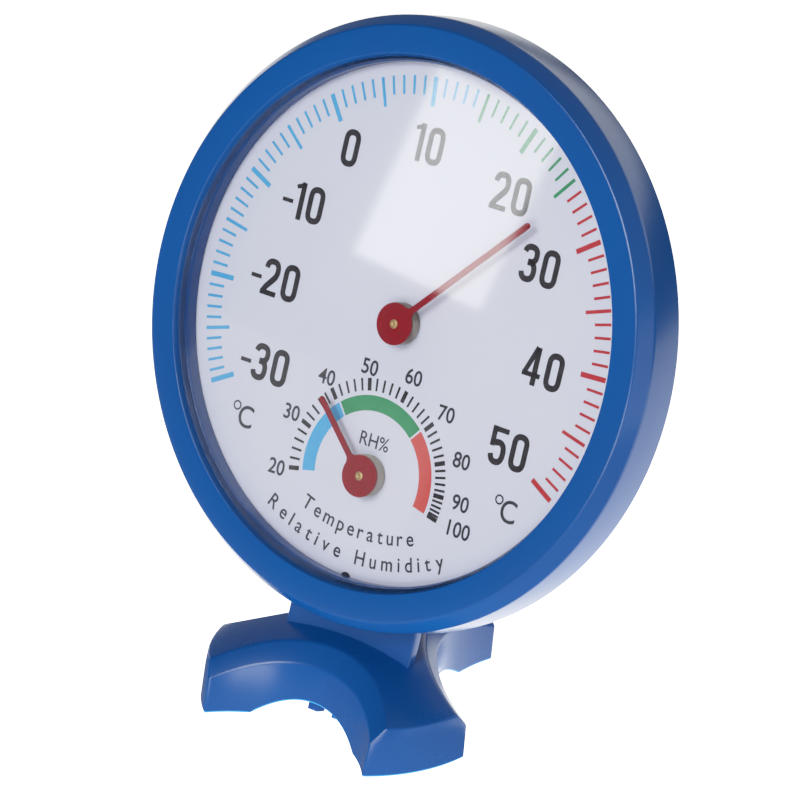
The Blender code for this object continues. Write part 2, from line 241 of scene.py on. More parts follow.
needleRed = surface({
    "name": "needle red lacquer", "colour": (0.300, 0.006, 0.016), "second": (0.250, 0.005, 0.013),
    "cloudScale": 500.0, "rough": (0.28, 0.42), "grainScale": 2500.0, "grain": 0.35, "depth": 0.00003})
brassTurned = surface({
    "name": "turned brass", "colour": (0.66, 0.46, 0.22), "second": (0.52, 0.35, 0.16), "metal": 0.75,
    "cloudScale": 1500.0, "rough": (0.42, 0.6), "grainScale": 4000.0, "grain": 0.5})
steelPlated = surface({
    "name": "plated steel", "colour": (0.55, 0.55, 0.57), "second": (0.42, 0.42, 0.44), "metal": 1.0,
    "cloudScale": 900.0, "rough": (0.25, 0.42), "grainScale": 3000.0, "grain": 0.3})
bimetal = surface({
    "name": "bimetal strip", "colour": (0.43, 0.39, 0.33), "second": (0.20, 0.155, 0.115),
    "metal": 0.85, "cloudScale": 520.0, "rough": (0.38, 0.55), "grainScale": 2600.0, "grain": 0.5,
    "stretch": (1, 1, 0.3)})
humidityStrip = surface({
    "name": "humidity strip", "colour": (0.50, 0.46, 0.38), "second": (0.40, 0.36, 0.29),
    "cloudScale": 500.0, "rough": (0.55, 0.7), "grainScale": 2600.0, "grain": 0.5,
    "stretch": (1, 1, 0.3)})


lensLook = {"tint": (0.985, 0.988, 0.992, 1), "rough": 0.035, "ior": 1.49}


def makeLensFinish():
    # A thin clear sheet: it lets the light straight through and mirrors a little at every angle.
    material, tree = newMaterial("clear lens")
    through = addNode(tree, "ShaderNodeBsdfTransparent", Color=lensLook["tint"])
    mirror = addNode(tree, "ShaderNodeBsdfGlossy", Roughness=lensLook["rough"])
    fresnel = addNode(tree, "ShaderNodeFresnel", IOR=lensLook["ior"])
    mix = addNode(tree, "ShaderNodeMixShader")
    output = addNode(tree, "ShaderNodeOutputMaterial")
    tree.links.new(fresnel.outputs["Fac"], mix.inputs["Fac"])
    tree.links.new(through.outputs["BSDF"], mix.inputs[1])
    tree.links.new(mirror.outputs["BSDF"], mix.inputs[2])
    tree.links.new(mix.outputs["Shader"], output.inputs["Surface"])
    return material


lensClear = makeLensFinish()
print("finishes made")


# CAD solids that keep their shape get their finish

def refinish(name, material):
    mesh = nodes[name].data
    mesh.materials.clear()
    mesh.materials.append(material)


for nodeName, finish in (
        ("lens", lensClear), ("dial_plate", dialWhite), ("rear_cover", coverPlastic),
        ("thermo_bush", brassTurned), ("hygro_bush", brassTurned),
        ("thermo_washer", steelPlated), ("hygro_washer", steelPlated),
        ("case_screw_1", steelPlated), ("case_screw_2", steelPlated),
        ("case_screw_3", steelPlated), ("case_screw_4", steelPlated)):
    refinish(nodeName, finish)


# Case ring: one turned moulding with softened corners (radius, height, fillet in mm)

ring = {"steps": 288, "profile": [
    (54.42, 3.65, 0), (55.60, 6.2, 0.16), (61.40, 6.2, 0.45), (63.70, 2.95, 0.55), (64.0, -5.6, 0.35),
    (62.2, -5.6, 0.2), (61.9, 1.15, 0), (60.8, 4.4, 0), (59.1, 4.4, 0), (59.1, -1.0, 0.2),
    (57.5, -1.0, 0.2), (57.5, 5.2, 0), (55.9, 5.2, 0), (55.2, 3.65, 0)]}
caseRing = addPiece("caseRing", lathe("caseRing", filleted(ring["profile"]), ring["steps"]), "case",
                    bluePlastic, caseFrame)
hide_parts("front_bezel")

# Well ring: blue lip under the lens, then a wall down to the dial with painted shade in a darker blue

well = {"steps": 288, "profile": [
    (54.40, 3.6, 0.1), (57.2, 3.6, 0.15), (57.2, 0.3, 0.15), (54.1, 0.3, 0.1), (54.1, 3.0, 0.15)],
    "wallTop": 3.05, "wallReach": 54.6}
wellRing = addPiece("wellRing", lathe("wellRing", filleted(well["profile"]), well["steps"]), "case",
                    bluePlastic, caseFrame)
# painted shade: the inward faces below the lens take the darker blue as the second finish
wellRing.data.materials.append(wellPaintedShade)
for face in wellRing.data.polygons:
    inward = Vector(face.center[:2]).length < well["wallReach"] * mm
    if inward and face.center.z < well["wallTop"] * mm:
        face.material_index = 1
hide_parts("spacer_ring")
print("case rings made")


# Dial printing

dial = {"unit": 51.4, "ink": 0.035, "majorIn": 0.880, "minorIn": 0.923,
        "bold": 1.08, "medium": 0.74, "fine": 0.58,
        "numeralHeight": 7.95, "numeralStroke": 0.163, "numeralGap": 0.125}


def temperatureAngle(celsius):
    # degrees clockwise from the top; the scale opens slightly towards its hot end
    u = celsius - 10.0
    return -6.3 + 3.057 * u + 0.00397 * u ** 2 - 0.000055 * u ** 3


def humidityAngle(percent):
    x = (percent - 60.0) / 40.0
    return 15.2 + 111.3 * x - 10.2 * x ** 2 - 9.5 * x ** 3 - 4.9 * x ** 4


def onCircle(radius, angle):
    return Vector((radius * math.cos(angle), radius * math.sin(angle)))


def polar(radius, degrees, centre=(0.0, 0.0)):
    a = math.radians(degrees)
    return Vector((centre[0] + radius * math.sin(a), centre[1] + radius * math.cos(a)))


class Print:
    # Gathers flat ink shapes, in mm on the dial, into one mesh.
    def __init__(self):
        self.verts = []
        self.faces = []

    def polygon(self, points):
        start = len(self.verts)
        self.verts += [(p[0] * mm, p[1] * mm, dial["ink"] * mm) for p in points]
        self.faces.append(tuple(range(start, start + len(points))))

    def bar(self, a, b, width):
        side = (b - a).normalized()
        side = Vector((-side.y, side.x)) * width / 2
        self.polygon([a - side, b - side, b + side, a + side])

    def stroke(self, points, width, closed=False):
        count = len(points)
        left, right = [], []
        for i, here in enumerate(points):
            before = points[i - 1] if (i or closed) else here
            after = points[(i + 1) % count] if (i < count - 1 or closed) else here
            along = (after - before).normalized()
            first = (here - before).normalized() if here != before else along
            spread = 1.0 / max(0.6, abs(along.dot(first)))
            side = Vector((-along.y, along.x)) * width / 2 * spread
            left.append(here + side)
            right.append(here - side)
        for i in range(count if closed else count - 1):
            j = (i + 1) % count
            self.polygon([right[i], right[j], left[j], left[i]])

    def finish(self, name, material):
        mesh = meshFrom(name, self.verts, self.faces)
        addPiece(name, mesh, "case", material, caseFrame, smooth=False)


def temperatureTicks(first, last, name, ink):
    marks = Print()
    for celsius in range(first, last + 1):
        angle = temperatureAngle(celsius)
        major = celsius % 5 == 0
        width = dial["bold"] if celsius % 10 == 0 else dial["medium"] if major else dial["fine"]
        inner = dial["majorIn"] if major else dial["minorIn"]
        marks.bar(polar(inner * dial["unit"], angle), polar(dial["unit"], angle), width)
    marks.finish(name, ink)


temperatureTicks(-30, 14, "coldTicks", blueInk)
temperatureTicks(15, 25, "mildTicks", greenInk)
temperatureTicks(26, 50, "hotTicks", redInk)


def arcPoints(cx, cy, rx, ry, start, end, steps=14, square=0.82):
    points = []
    for i in range(steps + 1):
        a = math.radians(start + (end - start) * i / steps)
        c, s = math.cos(a), math.sin(a)
        points.append(Vector((cx + rx * math.copysign(abs(c) ** square, c),
                              cy + ry * math.copysign(abs(s) ** square, s))))
    return points


def numeralStrokes(symbol, s):
    # Strokes in a box one unit high: a list of (points, closed, width share), and the advance width
    width = 0.54
    left, right, low, top = s / 2, width - s / 2, s / 2, 1 - s / 2
    cx, rx = width / 2, (width - s) / 2
    ry = rx * 1.12
    if symbol == "0":
        loop = arcPoints(cx, top - ry, rx, ry, 0, 180) + arcPoints(cx, low + ry, rx, ry, 180, 360)
        return [(loop, True, 1.0)], width
    if symbol == "1":
        stem = 0.31 - s / 2
        flag = [Vector((0.0, 0.845)), Vector((stem * 0.75, 0.91)), Vector((stem, 0.985))]
        return [([Vector((stem, 0)), Vector((stem, 1))], False, 1.0), (flag, False, 0.72)], 0.31
    if symbol == "2":
        sweep = arcPoints(cx, top - ry, rx, ry, 178, -20)
        sweep += [Vector((right - 0.045, 0.52)), Vector((left + 0.075, 0.22)),
                  Vector((left + 0.01, 0.10))]
        base = [Vector((0.0, low * 0.86)), Vector((width - 0.01, low * 0.86))]
        return [(sweep, False, 1.0), (base, False, 0.86)], width
    if symbol == "3":
        middle = 0.525
        up = arcPoints(cx, (top + middle) / 2, rx, (top - middle) / 2, 170, -90)
        down = arcPoints(cx, (middle + low) / 2, rx, (middle - low) / 2, 90, -170)
        waist = [Vector((cx - 0.05, middle))]
        return [(up[:-1] + waist, False, 1.0), (waist + down[1:], False, 1.0)], width
    if symbol == "4":
        stem = width - s * 0.95
        return [([Vector((stem, 0)), Vector((stem, 1))], False, 1.0),
                ([Vector((0.0, 0.27)), Vector((width + 0.03, 0.27))], False, 0.78),
                ([Vector((stem - 0.03, 1.0)), Vector((s * 0.42, 0.27))], False, 0.86)], width + 0.03
    if symbol == "5":
        middle = 0.60
        bowl = arcPoints(cx, (middle + low) / 2, rx, (middle - low) / 2, 128, -168)
        return [([Vector((left, top * 1.008)), Vector((width - 0.02, top * 1.008))], False, 0.84),
                ([Vector((left, 1.0)), Vector((left, 0.47))], False, 0.95), (bowl, False, 1.0)], width
    if symbol == "-":
        return [([Vector((0.10, 0.43)), Vector((0.45, 0.43))], False, 0.66)], 0.36
    return [], 0.3


def numeral(marks, text, centre, height, stroke, gap):
    # the number is centred on its digits; a minus sign hangs outside
    digits = [numeralStrokes(symbol, stroke) for symbol in text]
    total = sum(width for _, width in digits) + gap * (len(text) - 1)
    x = -total / 2
    for strokes, width in digits:
        for points, closed, share in strokes:
            moved = [centre + Vector((x + p.x, p.y - 0.5)) * height for p in points]
            marks.stroke(moved, stroke * share * height, closed)
        x += width + gap


# where each number sits: share of the scale radius and degrees from the top
numeralPlace = {-30: (0.722, -117.9), -20: (0.680, -89.2), -10: (0.715, -61.0), 0: (0.760, -35.8),
                10: (0.727, -5.8), 20: (0.732, 30.1), 30: (0.698, 55.7), 40: (0.703, 89.3),
                50: (0.717, 118.5)}
numbers = Print()
for celsius, (share, angle) in numeralPlace.items():
    numeral(numbers, str(celsius), polar(share * dial["unit"], angle), dial["numeralHeight"],
            dial["numeralStroke"], dial["numeralGap"])
numbers.finish("temperatureNumerals", blackInk)
print("temperature scale printed")


# Humidity scale

humid = {"centre": (-0.55, -32.55), "bandIn": 13.4, "bandOut": 16.6, "tickIn": 17.5, "tickOut": 20.15,
         "bold": 0.96, "fine": 0.50, "stepDegrees": 3}


def band(first, last, name, ink):
    marks = Print()
    steps = int(abs(last - first) / humid["stepDegrees"])
    centre = humid["centre"]
    for i in range(steps):
        a = first + (last - first) * i / steps
        b = first + (last - first) * (i + 1) / steps
        marks.polygon([polar(humid["bandIn"], a, centre), polar(humid["bandIn"], b, centre),
                       polar(humid["bandOut"], b, centre), polar(humid["bandOut"], a, centre)])
    marks.finish(name, ink)


band(-102.5, -40.8, "dryBand", blueInk)
band(-39.2, 39.6, "comfortBand", greenInk)
band(41.2, 102.5, "dampBand", coralInk)
humidTicks = Print()
for percent in range(20, 101, 2):
    angle = humidityAngle(percent)
    width = humid["bold"] if percent % 10 == 0 else humid["fine"]
    humidTicks.bar(polar(humid["tickIn"], angle, humid["centre"]),
                   polar(humid["tickOut"], angle, humid["centre"]), width)
humidTicks.finish("humidityTicks", blackInk)


# Lettering: plain words and figures from the built-in sans font

def glyph(text, height, weight, narrow=1.0):
    # a flat mesh of the text, centred on its own width, standing on its base line, in mm
    curve = bpy.data.curves.new("glyph", "FONT")
    curve.body = text
    curve.size = height / 0.73
    curve.offset = weight
    curve.resolution_u = 6
    holder = bpy.data.objects.new("glyph", curve)
    scene.collection.objects.link(holder)
    bpy.context.view_layer.update()
    mesh = bpy.data.meshes.new_from_object(holder.evaluated_get(bpy.context.evaluated_depsgraph_get()))
    bpy.data.objects.remove(holder)
    bpy.data.curves.remove(curve)
    xs = [v.co.x for v in mesh.vertices] or [0.0]
    shape = [((v.co.x - (min(xs) + max(xs)) / 2) * narrow, v.co.y) for v in mesh.vertices]
    faces = [tuple(face.vertices) for face in mesh.polygons]
    wide = (max(xs) - min(xs)) * narrow
    bpy.data.meshes.remove(mesh)
    return shape, faces, wide


def setGlyph(marks, shape, faces, spot, turn=0.0):
    start = len(marks.verts)
    c, s = math.cos(turn), math.sin(turn)
    for x, y in shape:
        marks.verts.append(((spot[0] + x * c - y * s) * mm, (spot[1] + x * s + y * c) * mm,
                            dial["ink"] * mm))
    marks.faces += [tuple(start + i for i in face) for face in faces]


# figureReach holds shares of the scale radius: at the top, then what the sides, the right and 100 add
lettering = {"figureHeight": 3.35, "figureWeight": 0.07, "figureReach": (0.437, 0.018, 0.022, 0.028),
             "lastAngle": 99.5, "narrow": 0.95,
             "middle": "RH%", "middleHeight": 3.0, "middleWeight": 0.03, "middleSpot": (-0.4, -26.7),
             "unit": "C", "unitHeight": 4.9, "unitWeight": 0.05, "unitNarrow": 0.92,
             "unitSpots": ((-35.0, -29.6), (34.9, -29.8)), "degreeRadius": 0.88, "degreeStroke": 0.36,
             "upper": "Temperature", "upperRadius": 44.2, "upperHalf": 19.2,
             "lower": "Relative Humidity", "lowerRadius": 49.6, "lowerHalf": 27.6,
             "wordHeight": 3.2, "wordWeight": 0.05, "space": 1.2}
figures = Print()
reachTop, reachSide, reachRight, reachLast = lettering["figureReach"]
for percent in range(20, 101, 10):
    last = percent == 100
    angle = humidityAngle(percent)
    lean = math.sin(math.radians(angle))
    share = reachTop + reachSide * lean * lean
    share += (reachRight if lean > 0.1 else 0.0) + (reachLast if last else 0.0)
    spot = polar(share * dial["unit"], lettering["lastAngle"] if last else angle, humid["centre"])
    shape, faces, _ = glyph(str(percent), lettering["figureHeight"], lettering["figureWeight"],
                            lettering["narrow"])
    setGlyph(figures, shape, faces, (spot.x, spot.y - lettering["figureHeight"] / 2))
shape, faces, _ = glyph(lettering["middle"], lettering["middleHeight"], lettering["middleWeight"],
                        lettering["narrow"])
setGlyph(figures, shape, faces, lettering["middleSpot"])
figures.finish("humidityFigures", greyInk)

# painted shade: a black ink disc over the small locating notch at the foot of the dial stands in for
# its dark mouth
notch = {"spot": (0.0, -54.8), "radius": 1.35, "steps": 40}
paintedNotchShade = Print()
paintedNotchShade.polygon([Vector(notch["spot"]) + onCircle(notch["radius"], 2 * math.pi * i / notch["steps"])
               for i in range(notch["steps"])])
paintedNotchShade.finish("notchPaintedShade", blackInk)

units = Print()
small = lettering["degreeRadius"]
for x, y in lettering["unitSpots"]:
    shape, faces, _ = glyph(lettering["unit"], lettering["unitHeight"], lettering["unitWeight"],
                            lettering["unitNarrow"])
    setGlyph(units, shape, faces, (x + 0.9, y - lettering["unitHeight"] / 2 + 0.2))
    loop = arcPoints(x - 1.9, y + 1.85, small, small, 0, 345, 24, 1.0)
    units.stroke(loop, lettering["degreeStroke"], True)
units.finish("unitSigns", greyInk)


def wordOnArc(marks, word, radius, half, height):
    # letters stand inside the arc and read left to right along the bottom of the dial
    weight, narrow = lettering["wordWeight"], lettering["narrow"]
    blank = ([], [], lettering["space"])
    letters = [blank if letter == " " else glyph(letter, height, weight, narrow) for letter in word]
    room = math.radians(2 * half) * radius
    gap = (room - sum(wide for _, _, wide in letters)) / (len(word) - 1)
    along = -room / 2
    for shape, faces, wide in letters:
        angle = (along + wide / 2) / radius
        spot = ((radius + height / 2) * math.sin(angle), -(radius + height / 2) * math.cos(angle))
        setGlyph(marks, shape, faces, spot, angle)
        along += wide + gap


words = Print()
for line in ("upper", "lower"):
    wordOnArc(words, lettering[line], lettering[line + "Radius"], lettering[line + "Half"],
              lettering["wordHeight"])
words.finish("dialWords", greyInk)
print("humidity scale and lettering printed")


# Pointers: a flat stamped disc and needle with softened edges

pointer = {"disc": 4.4, "width": 1.27, "fillet": 1.15, "low": 2.9, "high": 3.3, "edge": 0.07,
           "discSteps": 72, "filletSteps": 6, "tipSteps": 12,
           "temperature": {"reach": 39.1, "degrees": 43.8},
           "humidity": {"reach": 19.3, "degrees": -46.9}}


def pointerOutline(reach, degrees):
    half = pointer["width"] / 2
    fillet = pointer["fillet"]
    blend = math.asin((half + fillet) / (pointer["disc"] + fillet))
    base = (pointer["disc"] + fillet) * math.cos(blend)
    points = []
    for i in range(pointer["discSteps"] + 1):
        a = blend + (2 * math.pi - 2 * blend) * i / pointer["discSteps"]
        points.append((pointer["disc"] * math.sin(a), pointer["disc"] * math.cos(a)))
    flank = []
    for i in range(1, pointer["filletSteps"] + 1):
        a = blend + (math.pi / 2 - blend) * i / pointer["filletSteps"]
        flank.append((-(half + fillet) + fillet * math.sin(a), base - fillet * math.cos(a)))
    points += flank
    for i in range(pointer["tipSteps"] + 1):
        a = math.pi * i / pointer["tipSteps"]
        points.append((-half * math.cos(a), reach - half + half * math.sin(a)))
    points += [(-x, y) for x, y in reversed(flank)]
    turn = Matrix.Rotation(-math.radians(degrees), 2)
    return [turn @ Vector(p) for p in points]


def makePointer(name, setting, below, body, node):
    outline = pointerOutline(setting["reach"], setting["degrees"])[::-1]
    bm = bmesh.new()
    low = [bm.verts.new((p.x * mm, p.y * mm, pointer["low"] * mm)) for p in outline]
    high = [bm.verts.new((p.x * mm, p.y * mm, pointer["high"] * mm)) for p in outline]
    bm.faces.new(low[::-1])
    bm.faces.new(high)
    for i in range(len(outline)):
        j = (i + 1) % len(outline)
        bm.faces.new((low[i], low[j], high[j], high[i]))
    rims = [edge for edge in bm.edges if abs(edge.verts[0].co.z - edge.verts[1].co.z) < 1e-9]
    bmesh.ops.bevel(bm, geom=rims, offset=pointer["edge"] * mm, segments=2, affect="EDGES", profile=0.5)
    bmesh.ops.recalc_face_normals(bm, faces=bm.faces)
    mesh = bpy.data.meshes.new(name)
    bm.to_mesh(mesh)
    bm.free()
    piece = addPiece(name, mesh, body, needleRed, placed(0, -below, 0), smooth=False)
    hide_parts(node)


drop = hygroDrop / mm
makePointer("temperatureNeedle", pointer["temperature"], 0.0, "thermo_needle", "thermo_pointer")
makePointer("humidityNeedle", pointer["humidity"], drop, "hygro_needle", "hygro_pointer")

# Pins: a domed brass end above each pointer and a round flat head behind the dial

pin = {"steps": 48, "profile": [
    (0.0, 3.50), (0.22, 3.50), (0.30, 3.56), (0.62, 3.55), (0.88, 3.48), (1.0, 3.36), (1.0, 3.2),
    (0.8, 3.1), (0.8, -2.3), (2.45, -2.3), (2.6, -2.42), (2.6, -2.95), (2.45, -3.1), (0.0, -3.1)]}
for name, below, body, node in (("temperaturePin", 0.0, "thermo_movement", "thermo_pin"),
                                ("humidityPin", drop, "hygro_movement", "hygro_pin")):
    mesh = lathe(name, pin["profile"], pin["steps"], closed=False)
    piece = addPiece(name, mesh, body, brassTurned, placed(0, -below, 0))
    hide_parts(node)

# Coils: a flat strip wound round the pin

coil = {"inner": 2.6, "outer": 4.55, "turns": 3.5, "low": 0.3, "high": 2.62, "strip": 0.16,
        "steps": 260}


def makeCoil(name, below, body, node, material):
    steps = coil["steps"]
    verts, faces = [], []
    for i in range(steps + 1):
        share = i / steps
        a = 2 * math.pi * coil["turns"] * share
        radius = coil["inner"] + (coil["outer"] - coil["inner"]) * share
        for r in (radius - coil["strip"] / 2, radius + coil["strip"] / 2):
            for z in (coil["low"], coil["high"]):
                verts.append((r * mm * math.cos(a), r * mm * math.sin(a), z * mm))
    for i in range(steps):
        k = i * 4
        for a, b in ((0, 1), (1, 3), (3, 2), (2, 0)):
            faces.append((k + a, k + b, k + 4 + b, k + 4 + a))
    faces += [(0, 2, 3, 1), (steps * 4, steps * 4 + 1, steps * 4 + 3, steps * 4 + 2)]
    mesh = meshFrom(name, verts, faces)
    bm = bmesh.new()
    bm.from_mesh(mesh)
    bmesh.ops.recalc_face_normals(bm, faces=bm.faces)
    bm.to_mesh(mesh)
    bm.free()
    piece = addPiece(name, mesh, body, material, placed(0, -below, 0), smooth=False)
    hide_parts(node)


makeCoil("temperatureCoil", 0.0, "thermo_movement", "thermo_coil", bimetal)
makeCoil("humidityCoil", drop, "hygro_movement", "hygro_coil", humidityStrip)
print("pointers, pins and coils made")


# Stand: a three-legged shell whose walls lean back with the case, and the tongue behind the case

stand = {"forward": 14.9, "lean": 0.24, "foot": 33.2, "bulge": 0.4, "biteCentre": 44.1, "bite": 28.3,
         "flare": 0.6, "crest": 16.7, "toe": 9.9, "shoulderIn": 3.0, "shoulderDrop": 3.0, "wall": 1.4,
         "crownRun": 11.0, "crownBite": 4.5, "arch": 4.9, "archEnd": 23.8, "edge": 0.45, "sharp": 24.0,
         "endSteps": 16, "biteSteps": 56}
standCentre = Vector((0.0, dialCentre.y - stand["forward"] * mm, 0.0))


def standPlan(inset, reach):
    radius = stand["foot"] - inset
    c = stand["biteCentre"]
    spread = math.acos((radius ** 2 + c ** 2 - reach ** 2) / (2 * radius * c))
    half = math.pi / 3 - spread
    swing = math.asin(radius * math.sin(spread) / reach)
    points = []
    for leg in range(3):
        middle = math.pi / 2 + leg * 2 * math.pi / 3
        biteWay = middle + math.pi / 3
        for i in range(stand["endSteps"]):
            share = 2 * i / stand["endSteps"] - 1
            bulged = radius + stand["bulge"] * (1 - share * share)
            points.append(onCircle(bulged, middle + half * share))
        for i in range(stand["biteSteps"]):
            a = biteWay + math.pi + swing * (1 - 2 * i / stand["biteSteps"])
            points.append(onCircle(c, biteWay) + onCircle(reach, a))
    return points


def crestAt(p):
    share = p.length / (stand["foot"] + stand["bulge"])
    return stand["toe"] + (stand["crest"] - stand["toe"]) * (1 - share ** 2)


def archAt(p):
    middle = stand["biteCentre"] - stand["bite"]
    share = (p.length ** 2 - middle ** 2) / (stand["archEnd"] ** 2 - middle ** 2)
    return stand["arch"] * (1 - min(1.0, max(0.0, share)))


def leaned(p, height):
    return Vector((p.x, p.y + stand["lean"] * height, height)) * mm + standCentre


def standSkin(bm, inset, flip):
    low = standPlan(inset, stand["bite"] + inset)
    high = standPlan(inset, stand["bite"] + stand["flare"] + inset)
    rings = [[leaned(p, archAt(p)) for p in low],
             [leaned(p, crestAt(p) - stand["shoulderDrop"] - inset / 2) for p in high]]
    reach = stand["bite"] + stand["flare"] + stand["shoulderIn"] + inset / 2
    for share in (0.0, 0.25, 0.5, 0.75, 1.0):
        top = standPlan(inset + 0.2 + stand["crownRun"] * share, reach + stand["crownBite"] * share)
        rings.append([leaned(p, crestAt(p) - inset) for p in top])
    for share in (0.8, 0.6, 0.4, 0.2):
        rings.append([leaned(p * share, crestAt(p * share) - inset) for p in top])
    rings = [[bm.verts.new(p) for p in points] for points in rings]
    apex = bm.verts.new(leaned(Vector((0.0, 0.0)), stand["crest"] - inset))
    for lower, upper in zip(rings, rings[1:]):
        for i in range(len(lower)):
            j = (i + 1) % len(lower)
            face = (lower[i], lower[j], upper[j], upper[i])
            bm.faces.new(face[::-1] if flip else face)
    last = rings[-1]
    for i in range(len(last)):
        face = (last[i], last[(i + 1) % len(last)], apex)
        bm.faces.new(face[::-1] if flip else face)
    return rings[0]


def addBox(bm, low, high, place, edge):
    made = bmesh.ops.create_cube(bm, size=1.0)["verts"]
    for vertex in made:
        spot = Vector(low[i] + (vertex.co[i] + 0.5) * (high[i] - low[i]) for i in range(3))
        vertex.co = place @ (spot * mm)
    bm.edges.index_update()
    edges = sorted({e for v in made for e in v.link_edges}, key=lambda e: e.index)
    bmesh.ops.bevel(bm, geom=edges, offset=edge * mm, segments=3, affect="EDGES", profile=0.5)


bm = bmesh.new()
outerRim = standSkin(bm, 0.0, False)
innerRim = standSkin(bm, stand["wall"], True)
for i in range(len(outerRim)):
    j = (i + 1) % len(outerRim)
    bm.faces.new((innerRim[i], innerRim[j], outerRim[j], outerRim[i]))
bm.normal_update()
sharpAngle = math.radians(stand["sharp"])
sharp = [e for e in bm.edges if len(e.link_faces) == 2 and e.calc_face_angle(0) > sharpAngle]
bmesh.ops.bevel(bm, geom=sharp, offset=stand["edge"] * mm, segments=3, affect="EDGES", profile=0.5,
                clamp_overlap=True)
# painted light: faces near the foot of the stand take the lighter blue as the second finish
for face in bm.faces:
    spot = (face.calc_center_median() - standCentre) / mm
    foot = archAt(Vector((spot.x, spot.y - stand["lean"] * spot.z)))
    face.material_index = 1 if spot.z < foot + stand["edge"] else 0

# The tongue holds the case, and two short ribs stiffen its root
tongue = {"half": 16.5, "foot": -71.2, "top": -41.4, "front": -6.0, "back": -8.1, "edge": 0.3}
rib = {"inner": 1.9, "outer": 4.5, "foot": -84.8, "top": -70.2, "front": -3.6, "back": -6.4,
       "edge": 0.2}
addBox(bm, (-tongue["half"], tongue["foot"], tongue["back"]),
       (tongue["half"], tongue["top"], tongue["front"]), caseFrame, tongue["edge"])
for side in (-1, 1):
    ends = sorted((side * rib["inner"], side * rib["outer"]))
    addBox(bm, (ends[0], rib["foot"], rib["back"]), (ends[1], rib["top"], rib["front"]),
           caseFrame, rib["edge"])
for vertex in bm.verts:
    vertex.co.z = max(0.0, vertex.co.z)
mesh = bpy.data.meshes.new("standShell")
bm.to_mesh(mesh)
bm.free()
standShell = addPiece("standShell", mesh, "stand", standPlastic)
mesh.materials.append(paintedLitRim)
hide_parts("stand_moulding")
print("stand made", len(mesh.polygons), "faces")


# Floor, light and camera

floorLook = {"half": 6.0, "drop": 0.0001, "grey": (0.5, 0.5, 0.5, 1), "glow": (2.2, 1.30),
             "fade": (0.06, 0.40)}
airLook = {"tint": (0.94, 0.96, 1.0, 1), "strength": (0.38, 0.05), "fade": (-0.3, 0.45),
           "darkSide": (-0.57, -0.81, 0.13)}


def makeFloor():
    size = floorLook["half"]
    mesh = meshFrom("floor", [(-size, -size, 0), (size, -size, 0), (size, size, 0), (-size, size, 0)],
                    [(0, 1, 2, 3)])
    floor = bpy.data.objects.new("floor", mesh)
    scene.collection.objects.link(floor)
    floor.location.z = -floorLook["drop"]
    material, tree = newMaterial("pale floor")
    matte = addNode(tree, "ShaderNodeBsdfDiffuse", Color=floorLook["grey"])
    glow = addNode(tree, "ShaderNodeEmission", Color=(1, 1, 1, 1))
    coords = addNode(tree, "ShaderNodeTexCoord")
    reach = addNode(tree, "ShaderNodeVectorMath", operation="LENGTH")
    tree.links.new(coords.outputs["Object"], reach.inputs[0])
    strength = mapped(tree, reach.outputs["Value"], *floorLook["glow"], *floorLook["fade"])
    tree.links.new(strength, glow.inputs["Strength"])
    add = addNode(tree, "ShaderNodeAddShader")
    output = addNode(tree, "ShaderNodeOutputMaterial")
    tree.links.new(matte.outputs["BSDF"], add.inputs[0])
    tree.links.new(glow.outputs["Emission"], add.inputs[1])
    tree.links.new(add.outputs["Shader"], output.inputs["Surface"])
    mesh.materials.append(material)


def makeWorld():
    # pale all round, with a darker side in front of the dial so its ring stays deep blue
    world = bpy.data.worlds.new("studio")
    scene.world = world
    world.use_nodes = True
    tree = world.node_tree
    tree.nodes.clear()
    coords = addNode(tree, "ShaderNodeTexCoord")
    facing = addNode(tree, "ShaderNodeVectorMath", operation="DOT_PRODUCT")
    facing.inputs[1].default_value = airLook["darkSide"]
    span = mapped(tree, facing.outputs["Value"], *airLook["strength"], *airLook["fade"])
    back = addNode(tree, "ShaderNodeBackground", Color=airLook["tint"])
    output = addNode(tree, "ShaderNodeOutputWorld")
    tree.links.new(coords.outputs["Generated"], facing.inputs[0])
    tree.links.new(span, back.inputs["Strength"])
    tree.links.new(back.outputs["Background"], output.inputs["Surface"])


def softLight(name, place, aim, size, radiance, colour=(1, 1, 1)):
    data = bpy.data.lights.new(name, "AREA")
    data.shape = "RECTANGLE"
    data.size, data.size_y = size
    data.energy = radiance * math.pi * size[0] * size[1]
    data.color = colour
    light = bpy.data.objects.new(name, data)
    scene.collection.objects.link(light)
    light.location = place
    light.rotation_euler = (Vector(aim) - Vector(place)).to_track_quat("-Z", "Y").to_euler()
    light.visible_camera = False
    return light


def onlyFor(light, pieces):
    # light linking: the light falls on these pieces alone
    group = bpy.data.collections.new(light.name + "Receivers")
    for piece in pieces:
        group.objects.link(piece)
    light.light_linking.receiver_collection = group


def mirrorPanel(name, spot, size, radiance):
    # a panel seen in the lens at the given spot (mm on the dial), and falling on nothing else
    lensSpot = caseFrame @ Vector((spot[0] * mm, spot[1] * mm, studio["lensHeight"] * mm))
    coming = (lensSpot - cameraPlace).normalized()
    going = coming - 2 * coming.dot(dialOut) * dialOut
    panel = softLight(name, lensSpot + going * studio["mirrorDistance"], lensSpot, size, radiance)
    onlyFor(panel, [nodes["lens"]])


def reflectionCard(name, corners, strength):
    # a panel met only by mirrored light: it shapes the gloss and lights nothing
    mesh = meshFrom(name, corners, [(0, 1, 2, 3)])
    card = bpy.data.objects.new(name, mesh)
    scene.collection.objects.link(card)
    material, tree = newMaterial(name)
    glow = addNode(tree, "ShaderNodeEmission", Color=(1, 1, 1, 1), Strength=strength)
    output = addNode(tree, "ShaderNodeOutputMaterial")
    tree.links.new(glow.outputs["Emission"], output.inputs["Surface"])
    mesh.materials.append(material)
    card.visible_camera = card.visible_diffuse = card.visible_shadow = card.visible_transmission = False


